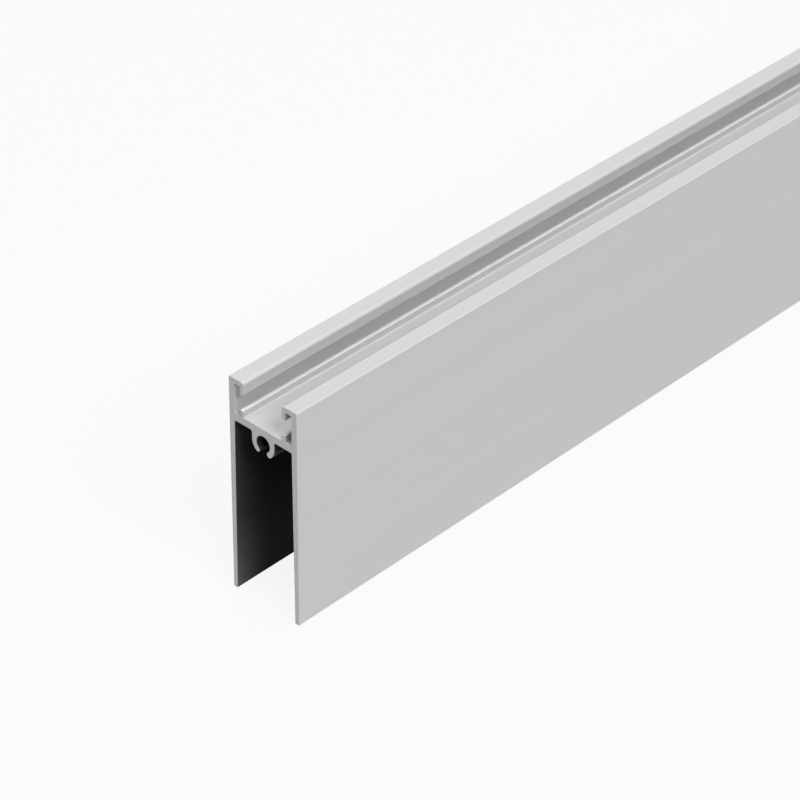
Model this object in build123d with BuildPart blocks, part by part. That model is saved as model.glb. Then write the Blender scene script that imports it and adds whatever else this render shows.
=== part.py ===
"""Aluminium extrusion profile: one bar of H-shaped section, pressed through a die and sawn square.

Two tall walls stand on their feet, joined near the top by a web. Above the web is a shallow channel with
hooked rims, which take a clip-in strip or seal. Below it is a deep chamber, open at the foot, with a screw
port hanging from the web, and its walls thin towards the feet. Millimetres, +Z up, the bar lies along Y. The
origin is at mid-length and mid-width, at the level of the wall feet.
"""

import os
from math import asin, degrees

from build123d import *

# The bar and its two walls, which thin below the web, on their inner sides, towards the feet
length = 1000.0
width = 20.0
height = 56.0
wall = 1.6
foot_wall = 1.2

# The channel along the top, and the web that is its floor and the roof of the chamber below
channel_depth = 8.9
web = 1.9

# The groove that runs along each wall of the channel, behind a lip above and a rib below
groove = 1.65

# The hooks: a flange turned in from the top of each wall, and a lip turned down from it
flange = 1.3
lip = 1.1
lip_depth = 3.35
lip_chamfer = 0.4

# The ribs that stand on the web under the lips, and widen on their inner sides towards the foot
rib = 0.9
rib_foot = 1.15
rib_height = 1.7

# The screw port: two round-ended arms that hold a self-tapping screw along the bar
port_bore = 3.9
port_wall = 1.4
port_mouth = 2.0

# Radii of the die
top_radius = 0.4
hook_radius = 0.8
foot_radius = 0.3
edge_radius = 0.2
corner_radius = 0.4

# Faces and levels of the section, from the sizes above
wall_outside = width / 2
wall_inside = wall_outside - wall
foot_inside = wall_outside - foot_wall
groove_back = wall_inside - groove
lip_inside = groove_back - lip
rib_inside = groove_back - rib
rib_foot_inside = groove_back - rib_foot
floor_level = height - channel_depth
web_underside = floor_level - web
rib_top = floor_level + rib_height
lip_tip = height - lip_depth
flange_underside = height - flange
tip_radius = min(edge_radius, (lip - lip_chamfer) / 2)

# The port's bore rises to the underside of the web, and the tips of its arms leave the mouth between them
port_level = web_underside - port_bore / 2
port_outside = port_bore / 2 + port_wall
arm_radius = (port_bore + port_wall) / 2
tip_angle = degrees(asin((port_mouth + port_wall) / 2 / arm_radius))

with BuildPart() as profile:
    with BuildSketch(Plane.XZ) as section:
        # One half of the section, from the middle of the web to the outside of a wall
        with Locations((wall_outside, height)):
            Rectangle(wall, height - web_underside, align=(Align.MAX, Align.MAX))
        with BuildLine():
            Polyline(
                (wall_outside, web_underside),
                (wall_inside, web_underside),
                (foot_inside, 0),
                (wall_outside, 0),
                close=True,
            )
        make_face()
        with Locations((0, floor_level)):
            Rectangle(wall_outside, web, align=(Align.MIN, Align.MAX))
        with Locations((lip_inside, height)):
            Rectangle(wall_outside - lip_inside, flange, align=(Align.MIN, Align.MAX))
            Rectangle(lip, lip_depth, align=(Align.MIN, Align.MAX))
        with BuildLine():
            Polyline(
                (groove_back, floor_level),
                (groove_back, rib_top),
                (rib_inside, rib_top),
                (rib_foot_inside, floor_level),
                close=True,
            )
        make_face()

        # The port: a straight neck under the web, bored out, and an arm that curls in below it
        with Locations((0, port_level)):
            Rectangle(port_outside, port_bore / 2, align=(Align.MIN, Align.MIN))
            Circle(port_bore / 2, mode=Mode.SUBTRACT)
        with BuildLine(mode=Mode.PRIVATE) as arm:
            CenterArc((0, port_level), arm_radius, tip_angle - 90, 90 - tip_angle)
        SlotArc(arm.edge(), port_wall)

        def corner(across, level):
            """The corner of the section nearest to a place on it."""
            return section.vertices().sort_by_distance((across, level))[0]

        # Outside corners
        fillet(corner(wall_outside, height), top_radius)
        fillet(corner(lip_inside, height), hook_radius)
        fillet([corner(wall_outside, 0), corner(foot_inside, 0)], foot_radius)
        chamfer(corner(lip_inside, lip_tip), lip_chamfer)
        fillet(corner(groove_back, lip_tip), tip_radius)
        fillet([corner(groove_back, rib_top), corner(rib_inside, rib_top)], edge_radius)

        # Inside corners
        inside_corners = [
            (wall_inside, web_underside),
            (port_outside, web_underside),
            (rib_foot_inside, floor_level),
            (groove_back, floor_level),
            (wall_inside, floor_level),
            (wall_inside, flange_underside),
            (groove_back, flange_underside),
        ]
        fillet([corner(*place) for place in inside_corners], corner_radius)
        mirror(about=Plane.YZ)
    extrude(amount=length / 2, both=True)

os.makedirs("parts", exist_ok=True)
profile.part.label = "profile"
export_step(profile.part, "parts/profile.step")
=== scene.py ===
import math

import bpy
import numpy as np
from mathutils import Matrix, Vector


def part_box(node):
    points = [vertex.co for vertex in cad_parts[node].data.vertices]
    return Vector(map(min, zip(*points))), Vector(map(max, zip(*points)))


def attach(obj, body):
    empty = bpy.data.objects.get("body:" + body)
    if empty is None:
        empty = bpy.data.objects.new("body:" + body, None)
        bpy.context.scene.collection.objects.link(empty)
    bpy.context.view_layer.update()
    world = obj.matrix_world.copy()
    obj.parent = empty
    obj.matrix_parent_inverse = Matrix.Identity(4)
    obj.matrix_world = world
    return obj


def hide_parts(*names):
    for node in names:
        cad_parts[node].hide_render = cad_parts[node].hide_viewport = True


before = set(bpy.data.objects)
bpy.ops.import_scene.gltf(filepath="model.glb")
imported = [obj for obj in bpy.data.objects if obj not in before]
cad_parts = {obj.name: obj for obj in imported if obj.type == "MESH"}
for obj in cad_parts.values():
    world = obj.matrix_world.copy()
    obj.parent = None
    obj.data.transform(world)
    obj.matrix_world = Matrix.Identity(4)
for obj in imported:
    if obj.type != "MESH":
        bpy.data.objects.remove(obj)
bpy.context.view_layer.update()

# The profile: one bar of aluminium, pushed hot through a steel die, so its whole section is one piece.
# It is stretched straight, etched and anodised to a satin silver, then sawn to length, which leaves bare
# cut faces with lightly broken edges at both ends. The chamber under the web is coloured nearly black.
bar_low, bar_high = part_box("profile")
height = bar_high.z - bar_low.z
wall_outside = bar_high.x
half_length = bar_high.y
wall = 0.0016
foot_wall = 0.0012
channel_depth = 0.0089
web = 0.0019
groove = 0.00165
flange = 0.0013
lip = 0.0011
lip_depth = 0.00335
lip_chamfer = 0.0004
rib = 0.0009
rib_foot = 0.00115
rib_height = 0.0017
port_bore = 0.0039
port_wall = 0.0014
port_mouth = 0.0020
top_radius = 0.0004
hook_radius = 0.0008
foot_radius = 0.0003
edge_radius = 0.0002
corner_radius = 0.0004
chamfer_radius = 0.00012
cut_break = 0.00005
corner_steps = 9
port_steps = 33
tip_steps = 15
spans = 40

wall_inside = wall_outside - wall
foot_inside = wall_outside - foot_wall
groove_back = wall_inside - groove
lip_inside = groove_back - lip
rib_inside = groove_back - rib
rib_foot_inside = groove_back - rib_foot
floor_level = height - channel_depth
web_underside = floor_level - web
rib_top = floor_level + rib_height
flange_underside = height - flange
lip_tip = height - lip_depth
port_level = web_underside - port_bore / 2
port_outside = port_bore / 2 + port_wall
arm_radius = (port_bore + port_wall) / 2
tip_turn = math.asin((port_mouth + port_wall) / 2 / arm_radius) - math.pi / 2


def along_arc(centre, radius, start, end, steps, side):
    """Points at even angles from start to end on a circle, and their normals, which point away from
    the centre for side 1, as on a rounded edge, and towards it for side -1, as in a bore."""
    angle = np.linspace(start, end, steps)
    out = np.stack([np.cos(angle), np.sin(angle)], 1)
    return np.asarray(centre) + radius * out, side * out


def along_corners(corners, radii, steps):
    """The run past a row of corners, each rounded by an arc that touches both of its sides: it starts
    radius times tan(turn / 2) before the corner, and its normal turns evenly from one side's to the
    other's. A left turn is an outer corner, with its centre in the metal, and a right turn an inner one."""
    step = np.diff(corners, axis=0)
    step = step / np.linalg.norm(step, axis=1, keepdims=True)
    before, after = step[:-1], step[1:]
    cross = before[:, 0] * after[:, 1] - before[:, 1] * after[:, 0]
    turn = np.arctan2(cross, (before * after).sum(1))
    side = np.sign(turn)
    start = corners[1:-1] - before * (radii * np.tan(abs(turn) / 2))[:, None]
    heading = np.arctan2(before[:, 1], before[:, 0])
    angle = heading[:, None] - np.pi / 2 + turn[:, None] * np.linspace(0, 1, steps)
    normal = np.stack([np.cos(angle), np.sin(angle)], 2)
    offset = (side * radii)[:, None, None] * (normal - normal[:, :1])
    return (start[:, None] + offset).reshape(-1, 2), normal.reshape(-1, 2)


# The right half of the section as (across, up), from the top of the screw port's bore, round the arm,
# under the web, down and up the wall, round the hook and over the rib to the middle of the channel.
port_centre = (0, port_level)
arm_tip = (arm_radius * math.cos(tip_turn), port_level + arm_radius * math.sin(tip_turn))
bore = along_arc(port_centre, port_bore / 2, math.pi / 2, tip_turn, port_steps, -1)
tip = along_arc(arm_tip, port_wall / 2, tip_turn + math.pi, tip_turn + 2 * math.pi, tip_steps, 1)
arm = along_arc(port_centre, port_outside, tip_turn, 0, tip_steps, 1)
chamber_corners = [
    (port_outside, web_underside, corner_radius),
    (wall_inside, web_underside, corner_radius),
]
wall_corners = [
    (foot_inside, 0, foot_radius),
    (wall_outside, 0, foot_radius),
    (wall_outside, height, top_radius),
]
hook_corners = [
    (lip_inside, height, hook_radius),
    (lip_inside, lip_tip + lip_chamfer, chamfer_radius),
    (lip_inside + lip_chamfer, lip_tip, chamfer_radius),
    (groove_back, lip_tip, edge_radius),
    (groove_back, flange_underside, corner_radius),
    (wall_inside, flange_underside, corner_radius),
]
channel_corners = [
    (wall_inside, floor_level, corner_radius),
    (groove_back, floor_level, corner_radius),
    (groove_back, rib_top, edge_radius),
    (rib_inside, rib_top, edge_radius),
    (rib_foot_inside, floor_level, corner_radius),
]
turns = np.array(chamber_corners + wall_corners + hook_corners + channel_corners)
run = np.vstack([(port_outside, port_level), turns[:, :2], (0, floor_level)])
rounded = along_corners(run, turns[:, 2], corner_steps)
half_points, half_normals = (
    np.vstack([bore[k], tip[k][1:], arm[k][1:], rounded[k]]) for k in (0, 1)
)
black_count = port_steps + 2 * (tip_steps - 1) + (len(chamber_corners) + 1) * corner_steps - 1

mirror = np.array([-1, 1])
points = np.vstack([half_points, (half_points * mirror)[:0:-1]])
normals = np.vstack([half_normals, (half_normals * mirror)[:0:-1]])
count = len(points)


def swept_bar(points, normals, half_length, spans, cut_break):
    """The section carried along Y: ring k stands at station k, and the first and last rings are the
    section drawn in by the cut's broken edge along its own normals, so that a narrow 45 degree
    bevel runs round both cut faces. Gives the vertices, the quads and the two caps, a normal for each
    corner of those faces, and the stations."""
    body = np.linspace(cut_break - half_length, half_length - cut_break, spans + 1)
    stations = np.concatenate([[-half_length], body, [half_length]])
    inset = np.zeros(len(stations))
    inset[[0, -1]] = cut_break
    section = points[None] - inset[:, None, None] * normals[None]
    along = np.broadcast_to(stations[:, None], section.shape[:2])
    vertices = np.stack([section[..., 0], along, section[..., 1]], 2).reshape(-1, 3)

    n = len(points)
    here = np.arange(n)
    after = np.roll(here, -1)
    ring = n * np.arange(len(stations) - 1)[:, None]
    quads = np.stack([ring + here, ring + n + here, ring + n + after, ring + after], 2)

    lean = np.zeros(len(stations) - 1)
    lean[[0, -1]] = -1, 1
    leaning = np.stack(np.broadcast_arrays(normals[None, :, 0], lean[:, None], normals[None, :, 1]), 2)
    leaning = leaning / np.linalg.norm(leaning, axis=2, keepdims=True)
    corner_normals = leaning[:, np.stack([here, here, after, after], 1)].reshape(-1, 3)
    cap_normals = np.repeat([[0.0, -1.0, 0.0], [0.0, 1.0, 0.0]], n, axis=0)
    caps = [here, (n * (len(stations) - 1) + here)[::-1]]
    return vertices, quads.reshape(-1, 4), caps, np.vstack([corner_normals, cap_normals]), stations


vertices, quads, caps, corner_normals, stations = swept_bar(
    points, normals, half_length, spans, cut_break
)
bar_mesh = bpy.data.meshes.new("extruded_profile")
bar_mesh.from_pydata(vertices.tolist(), [], quads.tolist() + [c.tolist() for c in caps])
bar_mesh.shade_smooth()
bar_mesh.normals_split_custom_set(corner_normals.tolist())

# The tone of each face is a share of the finish's own, and the shares are painted light: painted shade
# darkens the backs of the lips and ribs in the grooves most, the groove floors less and the ribs' faces
# least, and a painted highlight brightens the top of the rib on the left.
# Painted shade in the hollows, where shade falls, and a painted highlight on one rib's top.
painted_pocket_shade_share = 0.5
painted_groove_floor_shade_share = 0.8
painted_rib_face_shade_share = 0.88
painted_rib_top_highlight_share = 1.55
no_painted_light_share = 1.0
slack = 0.00005
middles = (points + np.roll(points, -1, axis=0)) / 2
side, rise = middles.T
across = abs(side)
in_channel = (across < wall_inside + slack) & (rise > web_underside + web / 2)
on_back = in_channel & (across > groove_back - slack) & (across < groove_back + corner_radius)
on_back &= rise < flange_underside + slack
on_groove_floor = in_channel & (across > groove_back) & (rise < floor_level + corner_radius / 2)
on_rib_face = in_channel & (across > rib_foot_inside) & (across < rib_inside + slack)
on_rib_face &= (rise > floor_level + corner_radius) & (rise < rib_top - edge_radius / 2)
on_left_rib_top = in_channel & (side > -groove_back) & (side < -rib_inside)
on_left_rib_top &= (rise > rib_top - edge_radius) & (rise < rib_top + slack)
places = [on_left_rib_top, on_rib_face, on_groove_floor, on_back]
place_shares = [painted_rib_top_highlight_share, painted_rib_face_shade_share, painted_groove_floor_shade_share, painted_pocket_shade_share]
# Painted light: each face's share of the tone, below 1 for painted shade and above 1 for the painted
# highlight.
ring_painted_light_shares = np.select(places, place_shares, no_painted_light_share)
painted_light_shares = np.concatenate([np.tile(ring_painted_light_shares, len(stations) - 1), [no_painted_light_share, no_painted_light_share]])
bar_mesh.attributes.new("painted_light_share", "FLOAT", "FACE").data.foreach_set("value", painted_light_shares)


def add(tree, kind, inputs, **settings):
    """Adds a node to a tree. An input that is another node's output is linked, and a value is set."""
    node = tree.nodes.new(kind)
    for name, value in settings.items():
        setattr(node, name, value)
    for name, value in inputs.items():
        if isinstance(value, bpy.types.NodeSocket):
            tree.links.new(value, node.inputs[name])
        else:
            node.inputs[name].default_value = value
    return node.outputs[0]


def new_finish(name):
    """A material with its Principled shader joined to its output: the material, tree and shader."""
    finish = bpy.data.materials.new(name)
    finish.use_nodes = True
    return finish, finish.node_tree, finish.node_tree.nodes["Principled BSDF"]


def place_on(tree, stretch=(1, 1, 1), move=(0, 0, 0)):
    """Object coordinates in metres, moved and then stretched along each axis."""
    place = add(tree, "ShaderNodeTexCoord", {}).node.outputs["Object"]
    return add(tree, "ShaderNodeMapping", {"Vector": place, "Scale": stretch, "Location": move})


def noise(tree, place, size, detail):
    """Noise from 0 to 1 whose blots are about as large as size, with detail finer octaves in them."""
    facts = {"Vector": place, "Scale": 1 / size, "Detail": detail}
    return add(tree, "ShaderNodeTexNoise", facts)


def spread(tree, value, low, high):
    """The middle half of a noise, where most of it lies, spread evenly from low to high."""
    facts = {"Value": value, "From Min": 0.25, "From Max": 0.75, "To Min": low, "To Max": high}
    return add(tree, "ShaderNodeMapRange", facts)


def product(tree, one, other):
    """One value times the other."""
    return add(tree, "ShaderNodeMath", {0: one, 1: other}, operation="MULTIPLY")


def mean(tree, one, other):
    """The mean of two values."""
    return product(tree, add(tree, "ShaderNodeMath", {0: one, 1: other}, operation="ADD"), 0.5)


def lay_relief(tree, shader, height, depth, strength_share):
    """Tilts the shader's normal by the slope of a height from 0 to 1, which stands for the depth."""
    relief = {"Height": height, "Distance": depth, "Strength": strength_share}
    tree.links.new(add(tree, "ShaderNodeBump", relief), shader.inputs["Normal"])


def satin_anodising():
    """Etched and clear anodised metal: lines that the die drew along the bar, a third of a millimetre
    apart and some 175 long, on broad faint bands, with the fine matt grain of the etch. The tone
    follows the mean of the bands and that texture, times each face's painted-light share, which
    paints shade into the grooves and a highlight on one rib's top."""
    finish, tree, shader = new_finish("satin_anodising")
    line_size = 0.00035
    band_size = 0.006
    grain_size = 0.00012
    draw_share = 0.002
    tones = 0.605, 0.635
    roughnesses = 0.54, 0.62
    relief_depth = 0.00001
    drawn = place_on(tree, stretch=(1, draw_share, 1))
    lines = noise(tree, drawn, line_size, detail=2)
    bands = noise(tree, drawn, band_size, detail=1)
    grain = noise(tree, place_on(tree), grain_size, detail=3)
    texture = mean(tree, lines, grain)
    # Painted light: the share darkens faces in the grooves as painted shade and brightens one rib's top as
    # a painted highlight.
    share = add(tree, "ShaderNodeAttribute", {}, attribute_name="painted_light_share").node.outputs["Fac"]
    tone = product(tree, spread(tree, mean(tree, texture, bands), *tones), share)
    tree.links.new(tone, shader.inputs["Base Color"])
    tree.links.new(spread(tree, texture, *roughnesses), shader.inputs["Roughness"])
    lay_relief(tree, shader, texture, relief_depth, strength_share=0.25)
    shader.inputs["Metallic"].default_value = 0.2
    return finish


def chamber_black_with_painted_light():
    """The chamber's inside, coloured nearly black and dull, drawn along by the die like the outside. It is
    painted greyer near the cut ends, by the square of the nearness to an end, and most of all by the feet:
    painted light, standing for the light that comes in at the open ends and from below."""
    finish, tree, shader = new_finish("chamber_black_with_painted_light")
    line_size = 0.0006
    grain_size = 0.0003
    draw_share = 0.004
    painted_light_end_reach = 0.018
    painted_light_foot_reach = 0.020
    upper_painted_light_share = 0.36
    deep_chamber_tone = 0.002
    painted_lit_tone = 0.125
    streak_shares = 0.8, 1.2
    roughnesses = 0.42, 0.52
    relief_depth = 0.00001
    drawn = place_on(tree, stretch=(1, draw_share, 1))
    lines = noise(tree, drawn, line_size, detail=2)
    grain = noise(tree, place_on(tree), grain_size, detail=3)
    texture = mean(tree, lines, grain)
    place = add(tree, "ShaderNodeSeparateXYZ", {"Vector": place_on(tree)}).node.outputs
    # Painted light: the tone rises from near black to grey towards the cut ends and the feet.
    along = add(tree, "ShaderNodeMath", {0: place["Y"]}, operation="ABSOLUTE")
    end_span = {"Value": along, "From Min": half_length - painted_light_end_reach, "From Max": half_length}
    near_end = add(tree, "ShaderNodeMapRange", end_span)
    foot_span = {"Value": place["Z"], "From Max": painted_light_foot_reach, "To Min": 1, "To Max": upper_painted_light_share}
    near_foot = add(tree, "ShaderNodeMapRange", foot_span)
    painted_chamber_light = product(tree, product(tree, near_end, near_end), near_foot)
    painted_chamber_light_span = {"Value": painted_chamber_light, "To Min": deep_chamber_tone, "To Max": painted_lit_tone}
    tone = add(tree, "ShaderNodeMapRange", painted_chamber_light_span)
    tone = product(tree, tone, spread(tree, texture, *streak_shares))
    tree.links.new(tone, shader.inputs["Base Color"])
    tree.links.new(spread(tree, grain, *roughnesses), shader.inputs["Roughness"])
    lay_relief(tree, shader, texture, relief_depth, strength_share=0.3)
    shader.inputs["Specular IOR Level"].default_value = 0.03
    return finish


def sawn_metal():
    """Bare metal left by a circular saw: arcs about the blade's centre, which stands off to one side
    and above, a little wavy and of uneven depth, on a mottled grey. The wave's rings lie a tenth of pi
    apart at a scale of 1, so the scale is that over the pitch of the marks."""
    finish, tree, shader = new_finish("sawn_metal")
    blade_centre = (0.15, 0, 0.19)
    mark_pitch = 0.00045
    mottle_size = 0.0007
    ring_pitch = 0.314
    tones = 0.345, 0.465
    roughnesses = 0.42, 0.55
    mark_depth = 0.00002
    off = place_on(tree, move=tuple(-c for c in blade_centre))
    ring_facts = {"Vector": off, "Scale": ring_pitch / mark_pitch, "Distortion": 1.5, "Detail": 2}
    marks = add(tree, "ShaderNodeTexWave", ring_facts, wave_type="RINGS", rings_direction="Y")
    marks = marks.node.outputs["Fac"]
    mottle = noise(tree, place_on(tree), mottle_size, detail=3)
    tone = mean(tree, mean(tree, marks, mottle), mottle)
    tree.links.new(spread(tree, tone, *tones), shader.inputs["Base Color"])
    tree.links.new(spread(tree, mottle, *roughnesses), shader.inputs["Roughness"])
    lay_relief(tree, shader, marks, mark_depth, strength_share=0.3)
    shader.inputs["Metallic"].default_value = 1
    return finish


for finish in (satin_anodising(), chamber_black_with_painted_light(), sawn_metal()):
    bar_mesh.materials.append(finish)
silver_slot, black_slot, sawn_slot = range(3)
segment = np.arange(count)
in_chamber = (segment < black_count) | (segment >= count - black_count)
ring_slots = np.where(in_chamber, black_slot, silver_slot)
slots = np.tile(ring_slots, len(stations) - 1)
slots = np.concatenate([slots, [sawn_slot, sawn_slot]])
bar_mesh.polygons.foreach_set("material_index", slots.astype(np.int32))

bar = bpy.data.objects.new("extruded_profile", bar_mesh)
bpy.context.scene.collection.objects.link(bar)
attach(bar, "root")
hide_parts("profile")

# The floor: a wide pale studio sheet just under the feet. It takes the bar's soft shadow, and it shows
# nearly white to the camera and in the metal's gloss. From below it is clear.
floor_reach = 12.0
floor_gap = 0.00003
floor_tone = 0.6
white_share = 0.9
floor_corners = np.array([(-1, -1), (1, -1), (1, 1), (-1, 1)]) * floor_reach
floor_vertices = np.column_stack([floor_corners, np.full(4, -floor_gap)])
floor_mesh = bpy.data.meshes.new("studio_floor")
floor_mesh.from_pydata(floor_vertices.tolist(), [], [(0, 1, 2, 3)])


def is_seen(tree):
    """1 for a ray from the camera, or by way of gloss or glass, and 0 for one that only lights."""
    ways = add(tree, "ShaderNodeLightPath", {}).node.outputs
    mirrored = {0: ways["Is Glossy Ray"], 1: ways["Is Transmission Ray"]}
    mirrored = add(tree, "ShaderNodeMath", mirrored, operation="MAXIMUM")
    return add(tree, "ShaderNodeMath", {0: ways["Is Camera Ray"], 1: mirrored}, operation="MAXIMUM")


floor_finish = bpy.data.materials.new("pale_floor")
floor_finish.use_nodes = True
floor_tree = floor_finish.node_tree
floor_tree.nodes.remove(floor_tree.nodes["Principled BSDF"])
seen_share = product(floor_tree, is_seen(floor_tree), white_share)
sheet = add(floor_tree, "ShaderNodeBsdfDiffuse", {"Color": (floor_tone, floor_tone, floor_tone, 1)})
white = add(floor_tree, "ShaderNodeEmission", {"Color": (1, 1, 1, 1), "Strength": 1})
lit = add(floor_tree, "ShaderNodeMixShader", {0: seen_share, 1: sheet, 2: white})
under = add(floor_tree, "ShaderNodeNewGeometry", {}).node.outputs["Backfacing"]
clear = add(floor_tree, "ShaderNodeBsdfTransparent", {})
surface = add(floor_tree, "ShaderNodeMixShader", {0: under, 1: lit, 2: clear})
floor_tree.links.new(surface, floor_tree.nodes["Material Output"].inputs["Surface"])
floor_mesh.materials.append(floor_finish)
floor = bpy.data.objects.new("studio_floor", floor_mesh)
bpy.context.scene.collection.objects.link(floor)

# The light: a white room, and three large soft panels round the front end. The key stands high on the
# right, the fill in front on the left, and the third hangs overhead and lifts the channel's floor.
room_level = 0.02
world = bpy.data.worlds.new("white_room")
bpy.context.scene.world = world
world.use_nodes = True
room = world.node_tree
strength = add(room, "ShaderNodeMapRange", {"Value": is_seen(room), "To Min": room_level, "To Max": 1})
room.nodes["Background"].inputs["Color"].default_value = (1, 1, 1, 1)
room.links.new(strength, room.nodes["Background"].inputs["Strength"])

panel_distance = 3.0
panel_size = 1.6
panels = {
    "key_panel": ((0.67, -0.14, 0.73), 66),
    "fill_panel": ((-0.45, -0.65, 0.60), 26),
    "top_panel": ((0.00, 0.00, 1.00), 34),
}
front_end = Vector((0, -half_length, height / 2))
for name, (way, watts) in panels.items():
    panel = bpy.data.lights.new(name, "AREA")
    panel.shape = "DISK"
    panel.size = panel_size
    panel.energy = watts
    panel_object = bpy.data.objects.new(name, panel)
    panel_way = Vector(way).normalized()
    panel_object.location = front_end + panel_way * panel_distance
    panel_object.rotation_euler = panel_way.to_track_quat("Z", "Y").to_euler()
    bpy.context.scene.collection.objects.link(panel_object)

# The camera: it looks down on the front end from the right, with a long lens. The place that it aims
# at, on the outside of the right wall at the front end, stands at a known pixel of the photograph.
image_size = 800
focal_pixels = 3248.3
sensor = 36.0
azimuth = math.radians(43.165)
elevation = math.radians(35.559)
roll = math.radians(0.580)
camera_distance = 0.68188
aim_level = 0.025
aim_pixel = (298.03, 534.06)
aim = Vector((wall_outside, -half_length, aim_level))
back = Vector((
    math.sin(azimuth) * math.cos(elevation),
    -math.cos(azimuth) * math.cos(elevation),
    math.sin(elevation),
))
level_right = Vector((math.cos(azimuth), math.sin(azimuth), 0))
level_up = back.cross(level_right)
right = level_right * math.cos(roll) + level_up * math.sin(roll)
up = level_up * math.cos(roll) - level_right * math.sin(roll)
metres_per_pixel = camera_distance / focal_pixels
aim_right = (aim_pixel[0] - image_size / 2) * metres_per_pixel
aim_up = (image_size / 2 - aim_pixel[1]) * metres_per_pixel
camera = bpy.data.cameras.new("camera")
camera.sensor_width = sensor
camera.lens = focal_pixels / image_size * sensor
camera_object = bpy.data.objects.new("camera", camera)
camera_place = aim + back * camera_distance - right * aim_right - up * aim_up
camera_turn = Matrix((right, up, back)).transposed().to_4x4()
camera_object.matrix_world = Matrix.Translation(camera_place) @ camera_turn
bpy.context.scene.collection.objects.link(camera_object)
bpy.context.scene.camera = camera_object
bpy.context.scene.view_settings.view_transform = "Standard"
